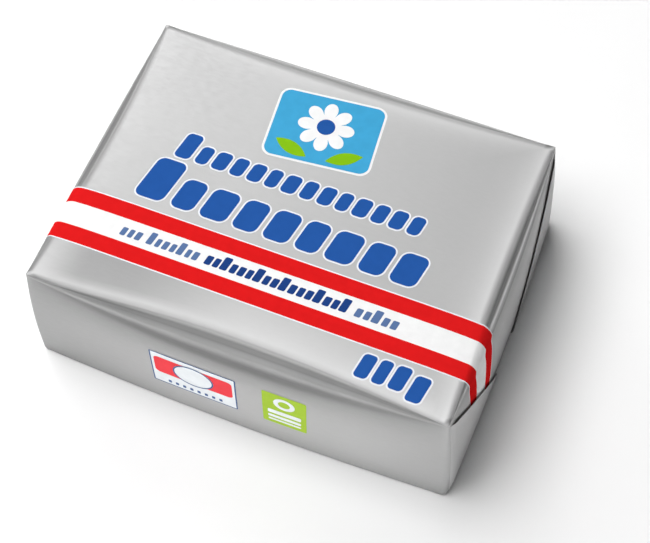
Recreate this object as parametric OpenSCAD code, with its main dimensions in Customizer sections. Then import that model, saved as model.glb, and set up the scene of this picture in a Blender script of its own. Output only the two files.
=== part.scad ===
// Butter block in a folded foil wrapper.
// The wrapper lies over the top, hangs down the four sides and closes underneath.
// At each end the panel comes down first. Two ears are folded over it, and their
// 45 degree folds start at the top corners. Underneath, the two long panels overlap
// along a seam, and a flap from each end lies over them.
// Millimetres, +Z up, origin at the centre of the base, length along X.

/* [Block] */
// Length of the top, between its corner points
top_length = 96.4; // [78:0.1:120]
// Width of the top, between its corner points
top_width = 72.2; // [58:0.1:90]
// Height from the base to the corner points
height = 35; // [28:0.1:43]
// How much further out each end stands at the base than at the top
end_flare = 2.4; // [0:0.1:4]
// How much further out each long side stands at the base than at the top
side_flare = 2.2; // [0:0.1:4]
// How far each end bows outwards halfway along the base
end_foot_bow = 0.7; // [0:0.05:2]
// How far each end bows outwards halfway along the top
end_top_bow = 1.15; // [0:0.05:2]
// How far each long side bows outwards halfway along the base
side_foot_bow = 1.15; // [0:0.05:2]
// How far each long side bows outwards halfway along the top
side_top_bow = 1.35; // [0:0.05:2]
// How far each wall bellies outwards halfway up
wall_belly = 0.45; // [0:0.05:1.5]
// How far the top swells above its corner points
crown = 0.4; // [0:0.05:1.5]

/* [Edges] */
// Rounding of the standing corners at the base
corner_radius = 1.5; // [1:0.1:4]
// Rounding of the four corner points of the top
point_radius = 0.35; // [0.2:0.05:1]
// Rounding of the edge round the base
foot_radius = 1; // [0.8:0.1:3]
// How far in on the top the front edge's bevel reaches at its middle
front_bevel_in = 4.3; // [1:0.1:6]
// How far down the front the same bevel reaches at its middle
front_bevel_down = 4.6; // [1:0.1:7]
// How far in on the top the back edge's bevel reaches at its middle
back_bevel_in = 2.8; // [1:0.1:5]
// How far down the back the same bevel reaches at its middle
back_bevel_down = 2.6; // [1:0.1:7]
// How far in on the top the end edges' bevels reach at their middle
end_bevel_in = 2.6; // [1:0.1:5]
// How far down the ends the same bevels reach at their middle
end_bevel_down = 2.6; // [1:0.1:6]
// Height over which the bevels run together at a corner point
point_drop = 0.5; // [0.3:0.05:1]
// How round a bevel is, from 0 for a flat chamfer to 1 for a full quarter turn
bevel_round = 0.6; // [0:0.05:1]

/* [Folds] */
// How far a folded ear stands proud of the end panel
ear_thickness = 0.45; // [0.2:0.05:1]
// Width over which an ear thickens, from the standing corner inwards
ear_ramp = 3; // [2:0.1:6]
// Thickness of one folded layer under the block
lap_thickness = 0.25; // [0.15:0.05:0.5]
// How far the end flaps reach in under the block
flap_reach = 24; // [15:0.5:26]
// Distance of the long panels' seam from the middle of the base, towards the back
seam_offset = 7; // [-10:0.5:10]

/* [Hidden] */

wall_steps = 16;      // segments along each wall
corner_steps = 4;     // segments round each standing corner
foot_steps = 4;       // rings round the foot
rise_steps = 7;       // rings between the foot and the bevels
bevel_steps = 3;      // rings over the bevels
top_steps = 6;        // rings between the bevels and the middle of the top
ear_steps = 12;       // segments down an ear, above the foot
ear_cross_steps = 6;  // segments across an ear
ear_sink = 0.6;       // how deep an ear is rooted in the end
cut_margin = 5;       // how far the cuts underneath run past the block

half_length = top_length / 2;
half_width = top_width / 2;
wall_foot = foot_radius;             // height at which the walls start
wall_head = height - point_drop;     // height at which the walls end, at the corners

// The four walls in order round the block: front, right end, back, left end
bevel_in = [front_bevel_in, end_bevel_in, back_bevel_in, end_bevel_in];
bevel_down = [front_bevel_down, end_bevel_down, back_bevel_down, end_bevel_down];
flat = [0, 0, 0, 0];

// A curve that is 1 halfway along a wall and 0 at its ends, where t runs from -1 to 1
function swell(t) = 1 - t * t;

// How far the rounded foot draws a wall in at height z
function foot_in(z) =
    z >= foot_radius ? 0 : foot_radius - sqrt(pow(foot_radius, 2) - pow(foot_radius - z, 2));

// How far a wall with that flare stands outside its top corner points at height z
function wall_out(flare, z) =
    let (share = z / height)
    flare * (1 - share) + wall_belly * 4 * share * (1 - share) - foot_in(z);

function half_length_at(z) = half_length + wall_out(end_flare, z);
function half_width_at(z) = half_width + wall_out(side_flare, z);
function corner_radius_at(z) =
    point_radius + (corner_radius - point_radius) * sqrt(max(0, 1 - z / height));
function end_bow_at(z) = end_foot_bow + (end_top_bow - end_foot_bow) * z / height;
function side_bow_at(z) = side_foot_bow + (side_top_bow - side_foot_bow) * z / height;

// x of the right end's face, at y across and z up
function end_x(y, z) = half_length_at(z) + end_bow_at(z) * swell(y / half_width_at(z));

// A point of a wall, from 0 for the front to 3 for the left end, at t along it and z up
function wall_point(wall, t, z, drawn_in) =
    let (l = half_length_at(z),
         w = half_width_at(z),
         r = corner_radius_at(z),
         bow = (wall == 0 || wall == 2) ? side_bow_at(z) : end_bow_at(z),
         out = bow * swell(t) - drawn_in)
    wall == 0 ? [t * (l - r), -w - out, z]
    : wall == 1 ? [l + out, t * (w - r), z]
    : wall == 2 ? [-t * (l - r), w + out, z]
    : [-l - out, -t * (w - r), z];

// A point of the rounded corner that follows a wall, at a degrees round it and z up
function corner_point(wall, a, z) =
    let (r = corner_radius_at(z),
         side_x = (wall == 0 || wall == 1) ? 1 : -1,
         side_y = (wall == 1 || wall == 2) ? 1 : -1,
         turn = 90 * (wall - 1) + a)
    [side_x * (half_length_at(z) - r) + r * cos(turn),
     side_y * (half_width_at(z) - r) + r * sin(turn), z];

// A closed ring at height z, whose walls dip and draw in towards their middles
function ring(z, dips, draws) = [
    for (wall = [0:3]) each concat(
        [for (i = [0:wall_steps])
            let (t = 2 * i / wall_steps - 1)
            wall_point(wall, t, z - dips[wall] * swell(t), draws[wall] * swell(t))],
        [for (j = [1:corner_steps - 1]) corner_point(wall, 90 * j / corner_steps, z)]
    )
];

// Shares of a bevel's drop still to climb, and of its reach inwards done, at f of the way up
function bevel_left(f) = (1 - bevel_round) * (1 - f) + bevel_round * (1 - sin(90 * f));
function bevel_done(f) = (1 - bevel_round) * f + bevel_round * (1 - cos(90 * f));

foot_z = [for (i = [0:foot_steps]) foot_radius * (1 - cos(90 * i / foot_steps))];
foot_rings = [for (z = foot_z) ring(z, flat, flat)];
wall_rings = [
    for (i = [1:rise_steps])
        let (f = i / rise_steps)
        ring(wall_foot + (wall_head - wall_foot) * f, bevel_down * f, flat)
];
bevel_rings = [
    for (i = [1:bevel_steps])
        let (f = i / bevel_steps)
        ring(height - point_drop * bevel_left(f), bevel_down * bevel_left(f),
             bevel_in * bevel_done(f))
];

// The bevels' inner crease drawn towards the middle of the top by a share f, and swollen
function top_ring(crease, f) = [
    for (p = crease)
        [p[0] * (1 - f), p[1] * (1 - f), p[2] + (height + crown - p[2]) * (1 - pow(1 - f, 4))]
];
top_rings = [
    for (i = [1:top_steps]) top_ring(bevel_rings[bevel_steps - 1], i / (top_steps + 1))
];

// A closed solid through rings that run anticlockwise, from its flat base up to its peak
module loft(rings, peak) {
    n = len(rings[0]);
    top_start = (len(rings) - 1) * n;
    walls = [
        for (k = [0:len(rings) - 2], i = [0:n - 1])
            let (a = k * n + i, b = k * n + (i + 1) % n)
            each [[a, a + n, b + n], [a, b + n, b]]
    ];
    base = [[for (i = [0:n - 1]) i]];
    fan = [for (i = [0:n - 1]) [top_start + i, top_start + n, top_start + (i + 1) % n]];
    polyhedron(
        points = concat([for (r = rings) each r], [peak]),
        faces = concat(base, walls, fan),
        convexity = 4
    );
}

module block() {
    loft(concat(foot_rings, wall_rings, bevel_rings, top_rings), [0, 0, height + crown]);
}

// The front ear of the right end. Its fold starts under the corner point and runs in at
// 45 degrees, so that the ear is as wide as it lies deep.
module ear() {
    ear_top = height - 2 * point_drop;
    levels = concat(
        [for (i = [0:ear_steps - 1]) ear_top + (wall_foot - ear_top) * i / ear_steps],
        [for (i = [0:foot_steps]) foot_z[foot_steps - i]]
    );
    rows = len(levels);
    across = ear_cross_steps;
    function width(i, j) = (height - levels[i] - corner_radius_at(levels[i])) * j / across;
    function skin(i, j, lift) =
        let (z = levels[i], y = corner_radius_at(z) - half_width_at(z) + width(i, j))
        [end_x(y, z) + lift, y, z];
    outside = [
        for (i = [0:rows - 1], j = [0:across])
            skin(i, j, ear_thickness * min(1, width(i, j) / ear_ramp))
    ];
    inside = [for (i = [0:rows - 1], j = [0:across]) skin(i, j, -ear_sink)];
    row = across + 1;
    count = len(outside);
    rim = concat(
        [for (j = [0:across]) j],
        [for (i = [1:rows - 1]) i * row + across],
        [for (j = [1:across]) rows * row - 1 - j],
        [for (i = [1:rows - 2]) (rows - 1 - i) * row]
    );
    outer_faces = [
        for (i = [0:rows - 2], j = [0:across - 1])
            let (a = i * row + j, b = a + row)
            each [[a, a + 1, b + 1], [a, b + 1, b]]
    ];
    inner_faces = [for (f = outer_faces) [f[0] + count, f[2] + count, f[1] + count]];
    rim_faces = [
        for (k = [0:len(rim) - 1])
            let (p = rim[k], q = rim[(k + 1) % len(rim)])
            each [[p, p + count, q + count], [p, q + count, q]]
    ];
    polyhedron(
        points = concat(outside, inside),
        faces = concat(outer_faces, inner_faces, rim_faces),
        convexity = 4
    );
}

module ears() {
    for (mx = [0, 1], my = [0, 1]) mirror([mx, 0, 0]) mirror([0, my, 0]) ear();
}

// The base between the end flaps, as far as a line y across: each flap narrows at 45 degrees
// from the corners of the base
module between_flaps(y_from) {
    x_corner = half_length_at(0);
    y_corner = half_width_at(0);
    y_far = y_corner + cut_margin;
    middle = x_corner - flap_reach;
    y_narrow = y_corner - flap_reach;
    intersection() {
        polygon([
            [middle, -y_narrow], [middle, y_narrow], [x_corner, y_corner], [x_corner, y_far],
            [-x_corner, y_far], [-x_corner, y_corner], [-middle, y_narrow],
            [-middle, -y_narrow], [-x_corner, -y_corner], [-x_corner, -y_far],
            [x_corner, -y_far], [x_corner, -y_corner]
        ]);
        translate([-x_corner, y_from]) square([2 * x_corner, y_far - y_from]);
    }
}

// What the layers underneath leave free: one layer over the front long panel,
// and two over the back one, which the front one laps
module lap_steps() {
    y_front = -half_width_at(0) - cut_margin;
    translate([0, 0, -lap_thickness]) {
        linear_extrude(height = 2 * lap_thickness) between_flaps(y_front);
        linear_extrude(height = 3 * lap_thickness) between_flaps(seam_offset);
    }
}

module wrapped_block() {
    color("silver") difference() {
        union() {
            block();
            ears();
        }
        lap_steps();
    }
}

wrapped_block();
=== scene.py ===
"""A block of butter in a folded and printed foil wrapper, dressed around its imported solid.

The outer surface of the pack is one set of functions, PackForm, in millimetres. The foil, its
folded ears, the flaps underneath and every printed field are meshes laid on that surface.
"""

import logging
import math
from dataclasses import dataclass, replace
from enum import Enum
from typing import Callable, Sequence

import bmesh
import bpy
import numpy as np
from mathutils import Matrix, Vector

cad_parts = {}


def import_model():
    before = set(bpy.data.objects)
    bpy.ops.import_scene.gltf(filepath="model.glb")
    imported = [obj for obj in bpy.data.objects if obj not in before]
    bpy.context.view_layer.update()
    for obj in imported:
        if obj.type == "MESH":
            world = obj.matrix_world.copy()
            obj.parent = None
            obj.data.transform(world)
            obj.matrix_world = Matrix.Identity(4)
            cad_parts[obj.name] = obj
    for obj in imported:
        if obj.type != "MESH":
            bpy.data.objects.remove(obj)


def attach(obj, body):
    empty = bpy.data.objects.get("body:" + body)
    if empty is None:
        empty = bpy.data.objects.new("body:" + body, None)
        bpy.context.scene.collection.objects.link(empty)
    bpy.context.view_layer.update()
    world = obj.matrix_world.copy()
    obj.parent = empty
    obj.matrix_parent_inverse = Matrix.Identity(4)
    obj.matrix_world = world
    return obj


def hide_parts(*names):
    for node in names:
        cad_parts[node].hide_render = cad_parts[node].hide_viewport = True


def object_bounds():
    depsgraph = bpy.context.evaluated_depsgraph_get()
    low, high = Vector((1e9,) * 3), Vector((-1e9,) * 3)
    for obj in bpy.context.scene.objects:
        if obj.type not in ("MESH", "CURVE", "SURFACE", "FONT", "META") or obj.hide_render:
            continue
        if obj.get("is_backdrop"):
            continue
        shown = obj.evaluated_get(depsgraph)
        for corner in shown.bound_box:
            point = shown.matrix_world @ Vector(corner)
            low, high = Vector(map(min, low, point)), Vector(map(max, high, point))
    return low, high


LOG = logging.getLogger("butter_block")

MM = 0.001
BODY = "root"
SOLID = "wrapped_block"
PAINTED_LEVEL = "tone"

Array = np.ndarray
Colour = tuple[float, float, float]
Skin = Callable[[Array, Array, float], Array]
Curve = tuple[tuple[float, float], ...]
Inks = dict[str, bpy.types.Material]


# ---------------------------------------------------------------------------- meshes


def smooth_step(value: Array, low: float, high: float) -> Array:
    """Rises smoothly from 0 at low to 1 at high.

    Args:
        value: Where to read the curve.
        low: The value at which it starts to rise.
        high: The value at which it is 1.

    Returns:
        The curve's height at each value.
    """
    share = np.clip((np.asarray(value, float) - low) / (high - low), 0, 1)
    return share * share * (3 - 2 * share)


def swell_at(t: Array) -> Array:
    """How far a bowed edge is swollen at t along it: 1 at its middle, 0 at both ends."""
    return np.clip(1 - t * t, 0, 1)


@dataclass
class MeshParts:
    """Grids of points that are joined into one mesh."""

    def __post_init__(self) -> None:
        """Starts with no points and no faces."""
        self.points: list[Array] = []
        self.painted_levels: list[Array] = []
        self.faces: list[tuple[int, ...]] = []
        self.count = 0

    def add_points(self, points: Array, painted_levels: Array | float = 1.0) -> int:
        """Adds points and returns the index of the first one.

        Args:
            points: The points, in millimetres.
            painted_levels: Painted light and shade at each of them, as a factor on the finish's
                colour, 1 being its plain colour.

        Returns:
            The index of the first point.
        """
        first = self.count
        self.points.append(np.asarray(points, float).reshape(-1, 3))
        self.count += len(self.points[-1])
        self.painted_levels.append(np.broadcast_to(np.ravel(painted_levels), len(self.points[-1])))
        return first

    def add_grid(
        self, grid: Array, flip: bool = False, wrap: bool = False, painted_levels: Array | float = 1.0
    ) -> int:
        """Adds a grid of points and the faces between them.

        Args:
            grid: Points, as rows by columns by 3.
            flip: True if the faces are to look the other way.
            wrap: True if the last column joins the first.
            painted_levels: Painted light and shade at each point, as a factor on the finish's
                colour.

        Returns:
            The index of the grid's first point.
        """
        rows, columns = grid.shape[:2]
        first = self.add_points(grid, painted_levels)
        for i in range(rows - 1):
            for j in range(columns if wrap else columns - 1):
                a = first + i * columns + j
                b = first + i * columns + (j + 1) % columns
                face = (a, b, b + columns, a + columns)
                self.faces.append(face[::-1] if flip else face)
        return first

    def add_cap(self, indices: Sequence[int], flip: bool = False) -> None:
        """Closes a ring of points with one flat face."""
        face = tuple(indices)
        self.faces.append(face[::-1] if flip else face)

    def add_tube(self, rings: Array, flip: bool = False, painted_levels: Array | float = 1.0) -> None:
        """Adds closed rings of points, joined from each to the next, with a face at both ends.

        Args:
            rings: Points, as rings by points round each by 3.
            flip: True if the faces are to look the other way.
            painted_levels: Painted light and shade at each point, as a factor on the finish's
                colour.
        """
        first = self.add_grid(rings, flip=flip, wrap=True, painted_levels=painted_levels)
        count = rings.shape[1]
        last = first + count * (len(rings) - 1)
        self.add_cap(range(first, first + count), flip=not flip)
        self.add_cap(range(last, last + count), flip=flip)

    def build(self, name: str, weld: float = 1e-5) -> bpy.types.Object:
        """Makes the object, in metres, with smooth shading.

        Args:
            name: The piece's name.
            weld: Points nearer than this, in metres, become one.

        Returns:
            The new object, linked to the scene.
        """
        mesh = bpy.data.meshes.new(name)
        mesh.from_pydata(np.concatenate(self.points) * MM, [], self.faces)
        # Stores each point's painted light and shade, which the foil multiplies into its grey.
        layer = mesh.attributes.new(PAINTED_LEVEL, "FLOAT", "POINT")
        layer.data.foreach_set("value", np.concatenate(self.painted_levels).astype(np.float32))
        work = bmesh.new()
        work.from_mesh(mesh)
        bmesh.ops.remove_doubles(work, verts=work.verts, dist=weld)
        bmesh.ops.dissolve_degenerate(work, edges=work.edges, dist=weld / 10)
        work.to_mesh(mesh)
        work.free()
        mesh.shade_smooth()
        mesh.validate()
        piece = bpy.data.objects.new(name, mesh)
        bpy.context.scene.collection.objects.link(piece)
        return piece


def hand_over(piece: bpy.types.Object, *materials: bpy.types.Material) -> bpy.types.Object:
    """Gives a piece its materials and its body.

    Args:
        piece: The piece.
        materials: What it is made of, in the order of its material slots.

    Returns:
        The same piece.
    """
    for material in materials:
        piece.data.materials.append(material)
    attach(piece, BODY)
    LOG.info("%s: %d faces", piece.name, len(piece.data.polygons))
    return piece


# ---------------------------------------------------------------------------- form


class Wall(Enum):
    """The four standing walls, with the way each one faces as (x, y)."""

    FRONT = (0, -1)
    RIGHT = (1, 0)
    BACK = (0, 1)
    LEFT = (-1, 0)

    @property
    def is_end(self) -> bool:
        """True for the two short walls."""
        return self.value[0] != 0

    @property
    def number(self) -> int:
        """The wall's place in the order front, right, back, left."""
        return list(Wall).index(self)


@dataclass(frozen=True)
class Bevel:
    """A rounded and creased top edge: how far it reaches in and down at its middle."""

    reach_in: float
    reach_down: float


@dataclass(frozen=True)
class PackForm:
    """The outer surface of the wrapped block, as functions of place, in millimetres."""

    half_length: float
    half_width: float
    height: float
    box_crown: float = 0.4
    crown: float = 0.6
    crown_run: float = 4.0
    ear_room: float = 0.45
    end_flare: float = 2.4
    side_flare: float = 2.2
    end_foot_bow: float = 0.7
    end_top_bow: float = 1.15
    side_foot_bow: float = 1.15
    side_top_bow: float = 1.35
    back_top_bow: float = 1.75
    belly: float = 0.45
    corner_radius: float = 1.5
    point_radius: float = 0.35
    point_drop: float = 0.5
    foot_radius: float = 1.0
    bevel_round: float = 0.6
    front_bevel: Bevel = Bevel(4.3, 4.6)
    right_bevel: Bevel = Bevel(2.15, 2.6)
    back_bevel: Bevel = Bevel(3.6, 2.6)
    left_bevel: Bevel = Bevel(3.2, 2.6)
    crease_depth: float = 0.11
    crease_width: float = 0.09
    hollow_depth: float = 0.22
    hollow_run: float = 3.5
    hollow_place: float = 0.8
    hollow_focus: float = 3.0
    grooves: Curve = ((0.30, 0.6), (0.62, 1.0), (0.93, 0.7))
    groove_end: float = 0.04
    edge_blend: float = 1.5
    slim_power: float = 1.6

    @classmethod
    def inside(cls, low: Vector, high: Vector) -> "PackForm":
        """Sizes the form so that it fills a box.

        Args:
            low: The box's lowest corner, in metres.
            high: The box's highest corner, in metres.

        Returns:
            The form whose walls and top just reach the box.
        """
        unit = cls(0.0, 0.0, (high.z - low.z) / MM - cls.box_crown)
        levels = np.linspace(0, unit.height, 200)
        end_reach = (unit.half_length_at(levels) + unit.bow_at(Wall.RIGHT, levels)).max()
        side_reach = (unit.half_width_at(levels) + unit.bow_at(Wall.FRONT, levels)).max()
        return cls(
            (high.x - low.x) / 2 / MM - end_reach - cls.ear_room,
            (high.y - low.y) / 2 / MM - side_reach,
            unit.height,
        )

    def bevel(self, wall: Wall) -> Bevel:
        """The bevel over a wall."""
        bevels = (self.front_bevel, self.right_bevel, self.back_bevel, self.left_bevel)
        return bevels[wall.number]

    def foot_in(self, z: Array) -> Array:
        """How far the rounded foot draws a wall in at height z."""
        below = np.clip(self.foot_radius - z, 0, self.foot_radius)
        return self.foot_radius - np.sqrt(self.foot_radius**2 - below**2)

    def wall_out(self, flare: float, z: Array) -> Array:
        """How far a wall with that flare stands outside its corner points at height z."""
        share = z / self.height
        return flare * (1 - share) + self.belly * 4 * share * (1 - share) - self.foot_in(z)

    def half_length_at(self, z: Array) -> Array:
        """Half the length between the ends' corners at height z."""
        return self.half_length + self.wall_out(self.end_flare, z)

    def half_width_at(self, z: Array) -> Array:
        """Half the width between the sides' corners at height z."""
        return self.half_width + self.wall_out(self.side_flare, z)

    def half_at(self, wall: Wall, z: Array) -> Array:
        """Distance of a wall's corners from the middle at height z."""
        return self.half_length_at(z) if wall.is_end else self.half_width_at(z)

    def corner_at(self, z: Array) -> Array:
        """Rounding of the standing corners at height z."""
        share = np.clip(1 - z / self.height, 0, 1)
        return self.point_radius + (self.corner_radius - self.point_radius) * np.sqrt(share)

    def bow_at(self, wall: Wall, z: Array) -> Array:
        """How far a wall's middle bows out at height z."""
        foot = self.end_foot_bow if wall.is_end else self.side_foot_bow
        top = self.end_top_bow if wall.is_end else self.side_top_bow
        if wall is Wall.BACK:
            top = self.back_top_bow
        return foot + (top - foot) * z / self.height

    def across_at(self, wall: Wall, z: Array) -> Array:
        """Half the straight run of a wall, between its rounded corners, at height z."""
        half = self.half_width_at(z) if wall.is_end else self.half_length_at(z)
        return half - self.corner_at(z)

    def reach_share(self, wall: Wall, t: Array) -> Array:
        """Share of a bevel's reach inwards at t along it; the front one is slimmer at its left."""
        swell = swell_at(t)
        return np.where(t < 0, swell**self.slim_power, swell) if wall is Wall.FRONT else swell

    def bevel_left(self, f: Array) -> Array:
        """Share of a bevel's drop that is left at f of the way up it."""
        return (1 - self.bevel_round) * (1 - f) + self.bevel_round * (1 - np.sin(f * np.pi / 2))

    def bevel_done(self, f: Array) -> Array:
        """Share of a bevel's reach inwards that is done at f of the way up it."""
        return (1 - self.bevel_round) * f + self.bevel_round * (1 - np.cos(f * np.pi / 2))

    def crease_top(self, wall: Wall, t: Array) -> Array:
        """Height of the crease under a wall's bevel, at t along it."""
        return self.height - self.point_drop - self.bevel(wall).reach_down * (1 - t * t)

    def place(self, wall: Wall, along: Array, out: Array, z: Array) -> Array:
        """Points of a wall, from their run along it and their distance out from the middle."""
        along, out, z = np.broadcast_arrays(along, out, z)
        fx, fy = wall.value
        return np.stack([fx * out - fy * along, fy * out + fx * along, z], -1)

    def wall_distance(self, wall: Wall, along: Array, z: Array) -> Array:
        """Distance of a wall's surface from the middle, at a place along it and a height."""
        t = np.clip(along / self.across_at(wall, z), -1, 1)
        half = self.half_at(wall, z)
        under = np.clip(self.crease_top(wall, t) - z, 0, None)
        hollow = self.hollow_depth * np.exp(
            -((under / self.hollow_run - self.hollow_place) ** 2) * self.hollow_focus
        )
        return half + (self.bow_at(wall, z) - hollow) * (1 - t * t)

    def wall_points(self, wall: Wall, along: Array, z: Array, lift: float = 0.0) -> Array:
        """Points on a wall, lifted off it."""
        return self.place(wall, along, self.wall_distance(wall, along, z) + lift, z)

    def bevel_points(self, wall: Wall, t: Array, f: Array, lift: float = 0.0) -> Array:
        """Points on a wall's bevel.

        Args:
            wall: The wall under the bevel.
            t: Place along the wall, from -1 to 1.
            f: Place up the bevel, from 0 at its lower crease to 1 at its inner one.
            lift: How far off the surface the points lie.

        Returns:
            The points, in millimetres.
        """
        t, f = np.broadcast_arrays(t, f)
        swell = swell_at(t)
        size = self.bevel(wall)
        left = self.bevel_left(f)
        z = self.height - self.point_drop * left - size.reach_down * left * swell
        half = self.half_at(wall, z)
        under = self.hollow_depth * math.exp(-(self.hollow_place**2) * self.hollow_focus) * (1 - f)
        out = half + (self.bow_at(wall, z) - under) * swell
        out = out - size.reach_in * self.bevel_done(f) * self.reach_share(wall, t)
        # The foil is pressed into fine grooves that fan out from the corner points.
        fold = self.groove(f) * np.sqrt(swell)
        turn = f * np.pi / 2
        shift = lift - fold
        along = t * self.across_at(wall, z)
        return self.place(wall, along, out + shift * np.cos(turn), z + shift * np.sin(turn))

    def groove(self, f: Array) -> Array:
        """Depth of the bevel's creases at f of the way up it."""
        depth = np.zeros_like(f)
        for middle, share in self.grooves:
            depth = depth + share * np.exp(-(((f - middle) / self.crease_width) ** 2))
        fade = np.clip((1 - f) / self.groove_end, 0, 1) * np.clip(f / self.groove_end, 0, 1)
        return self.crease_depth * depth * fade

    def edge_gap(self, wall: Wall, x: Array, y: Array) -> Array:
        """Distance of (x, y) on the top from the inner crease of a wall's bevel."""
        fx, fy = wall.value
        along, out = fx * y - fy * x, fx * x + fy * y
        half, run = self.half_width, self.half_length
        if wall.is_end:
            half, run = run, half
        t = np.clip(along / run, -1, 1)
        bow = self.bow_at(wall, self.height) * (1 - t * t)
        return half + bow - self.bevel(wall).reach_in * self.reach_share(wall, t) - out

    def top_z(self, x: Array, y: Array) -> Array:
        """Height of the swollen top at (x, y)."""
        gaps = [self.edge_gap(wall, x, y) for wall in Wall]
        near = sum(np.exp(-g / self.edge_blend) for g in gaps)
        gap = np.maximum(0, -np.log(near) * self.edge_blend)
        return self.height + self.crown * (1 - np.exp(-gap / self.crown_run))


@dataclass(frozen=True)
class PaintedLight:
    """Painted light and shade on the foil, as factors on its colour: painted highlights along the
    top's edges, painted shade under the bevels and across them, and painted shadow at the foot.
    """

    form: PackForm
    # Plain levels of the walls: the ends are painted darker than the sides, as shade.
    wall_plain: float = 1.20
    end_plain: float = 1.05
    # Painted shade under each bevel, fading downwards, and painted shadow at the foot.
    under_bevel_shade: float = 0.53
    under_bevel_shade_run: float = 4.6
    foot_shadow: float = 0.36
    foot_run: float = 5.0
    # Painted highlights along the top's edges, with a slight painted dip right at each crease.
    edge_highlights: tuple[float, float, float, float] = (0.50, 1.05, 0.5, 0.08)
    edge_runs: tuple[float, float, float, float] = (6.0, 3.5, 2.5, 4.0)
    edge_leans: tuple[float, float, float, float] = (0.2, 0.0, 0.8, 0.0)
    dip: float = 0.1
    dip_run: float = 0.7
    # Painted shade in a patch of the top near the front left.
    shade_patch_depth: float = 0.34
    # Painted light and shade across the bevels, from the lower crease at 0 to the inner one at 1.
    side_bevel_shading: Curve = (
        (0.00, 0.47), (0.10, 0.44), (0.20, 0.53), (0.30, 0.88), (0.40, 1.10), (0.50, 1.32),
        (0.58, 1.24), (0.65, 0.90), (0.72, 1.05), (0.80, 0.74), (0.90, 0.96),
    )
    end_bevel_shading: Curve = (
        (0.00, 0.50), (0.10, 0.56), (0.20, 0.74), (0.34, 1.40), (0.50, 1.25), (0.60, 0.86),
        (0.68, 0.60), (0.75, 0.64), (0.84, 1.20), (0.90, 1.50), (0.95, 1.56),
    )
    left_bevel_shading: Curve = ((0.00, 0.42), (0.25, 0.85), (0.50, 0.64), (0.75, 0.70), (0.90, 0.92))
    # Painted shade toward both ends of the front wall.
    left_end_shade: float = 0.30
    right_end_shade: float = 0.14
    fan_power: float = 0.4
    left_fade: tuple[float, float] = (-1.17, -0.1)
    right_fade: tuple[float, float] = (0.55, 1.05)
    crease_blend: tuple[float, float] = (0.88, 0.99)
    shade_patch_across: tuple[float, float, float, float] = (0.5, 3.4, 9.0, 16.0)
    shade_patch_along: tuple[float, float, float, float] = (-48.0, -36.0, -30.0, 4.0)

    def plain(self, wall: Wall) -> float:
        """The plain level of a wall; the ends are painted darker than the sides, as shade."""
        return self.end_plain if wall.is_end else self.wall_plain

    def wall(self, wall: Wall, t: Array, z: Array) -> Array:
        """Painted level of a wall at t along it and at height z: painted shade under its bevel and
        painted shadow at the foot.
        """
        form = self.form
        under = np.clip(form.crease_top(wall, t) - z, 0, None)
        swell = swell_at(t) ** self.fan_power
        under_bevel_shaded = 1 - self.under_bevel_shade * swell * np.exp(-under / self.under_bevel_shade_run)
        foot = 1 - self.foot_shadow * np.exp(-z / self.foot_run)
        return self.plain(wall) * under_bevel_shaded * foot * self.along(wall, t)

    def along(self, wall: Wall, t: Array) -> Array:
        """How a wall's painted level changes along it: the front one has painted shade toward its
        left and right ends.
        """
        if wall is not Wall.FRONT:
            return np.ones_like(t)
        left, right = 1 - smooth_step(t, *self.left_fade), smooth_step(t, *self.right_fade)
        return 1 - self.left_end_shade * left - self.right_end_shade * right

    def bevel(self, wall: Wall, t: Array, f: Array) -> Array:
        """Painted light and shade of a bevel at t along it and at f of the way up it, with a painted
        highlight at its inner crease.
        """
        swell = swell_at(t) ** self.fan_power
        curves = (self.side_bevel_shading, self.end_bevel_shading, self.side_bevel_shading, self.left_bevel_shading)
        places, levels = zip(*curves[wall.number])
        level = self.plain(wall) * (1 + (np.interp(f, places, levels) - 1) * swell)
        level = level * self.along(wall, t)
        return level + (self.crease(wall, t) - level) * smooth_step(f, *self.crease_blend)

    def crease(self, wall: Wall, t: Array) -> Array:
        """Painted highlight at the inner crease of a wall's bevel, at t along it."""
        fx, fy = wall.value
        return 1 + self.edge_highlight(wall, -fy * t) * (1 - self.dip)

    def edge_highlight(self, wall: Wall, share: Array) -> Array:
        """How strong the painted highlight is at a wall's inner crease, by the share of the way
        along x.
        """
        return self.edge_highlights[wall.number] * (1 + self.edge_leans[wall.number] * share)

    def top(self, x: Array, y: Array) -> Array:
        """Painted light and shade of the top at (x, y): painted highlights along its edges and a
        patch of painted shade near the front.
        """
        rise = np.zeros(np.broadcast(x, y).shape)
        for wall, run in zip(Wall, self.edge_runs):
            gap = np.clip(self.form.edge_gap(wall, x, y), 0, None)
            dip = 1 - self.dip * np.exp(-gap / self.dip_run)
            most = self.edge_highlight(wall, x / self.form.half_length)
            rise = np.maximum(rise, most * np.exp(-gap / run) * dip)
        # A patch of painted shade between the band and the front edge, toward the left.
        gap = self.form.edge_gap(Wall.FRONT, x, y)
        across, along = self.shade_patch_across, self.shade_patch_along
        shade_patch = smooth_step(gap, *across[:2]) * (1 - smooth_step(gap, *across[2:]))
        shade_patch = shade_patch * smooth_step(x, *along[:2]) * (1 - smooth_step(x, *along[2:]))
        return (1 + rise) * (1 - self.shade_patch_depth * shade_patch)


@dataclass(frozen=True)
class Rows:
    """How finely the surfaces are cut."""

    foot: int = 5
    wall: int = 26
    bevel: int = 20
    corner: int = 5
    long_side: int = 84
    short_side: int = 64


# ---------------------------------------------------------------------------- finishes


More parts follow.
